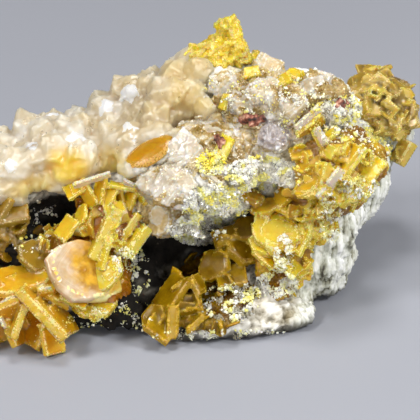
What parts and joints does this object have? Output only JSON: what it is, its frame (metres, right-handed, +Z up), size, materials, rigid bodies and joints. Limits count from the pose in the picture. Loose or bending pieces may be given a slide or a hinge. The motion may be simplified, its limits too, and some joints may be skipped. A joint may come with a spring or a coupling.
{
  "type": "mineral specimen",
  "caption": "Amber-yellow tabular wulfenite with pale calcite crystals on vuggy limestone, broken flat beneath so that it stands on display by itself",
  "frame": {"origin": "on the flat broken underside, below the middle of the front, where the specimen rests", "axes": "+X along the specimen's length, to the right as seen from the crystal-covered front; +Z up; the front faces -Y and leans back"},
  "size_m": [0.0616, 0.0399, 0.0333],
  "materials": {
    "matrix": "rough grey-white limestone, iron-stained and dark in the hollows",
    "left_wulfenite": "translucent amber-orange crystal, resinous lustre",
    "right_wulfenite": "translucent golden-yellow crystal, resinous lustre",
    "summit_wulfenite": "translucent yellow crystal, resinous lustre",
    "lens_wulfenite": "translucent orange crystal, resinous lustre",
    "lobe_wulfenite": "olive-yellow crystal, resinous lustre",
    "hollow_wulfenite": "amber crystal, resinous lustre",
    "ledge_calcite": "translucent white crystal with a sugary crust",
    "slope_calcite": "translucent cream-white crystal, glassy"
  },
  "bodies": {
    "root": {"matrix": "matrix", "left_wulfenite": "left_wulfenite", "right_wulfenite": "right_wulfenite", "summit_wulfenite": "summit_wulfenite", "lens_wulfenite": "lens_wulfenite", "lobe_wulfenite": "lobe_wulfenite", "hollow_wulfenite": "hollow_wulfenite", "ledge_calcite": "ledge_calcite", "slope_calcite": "slope_calcite"}
  },
  "joints": []
}
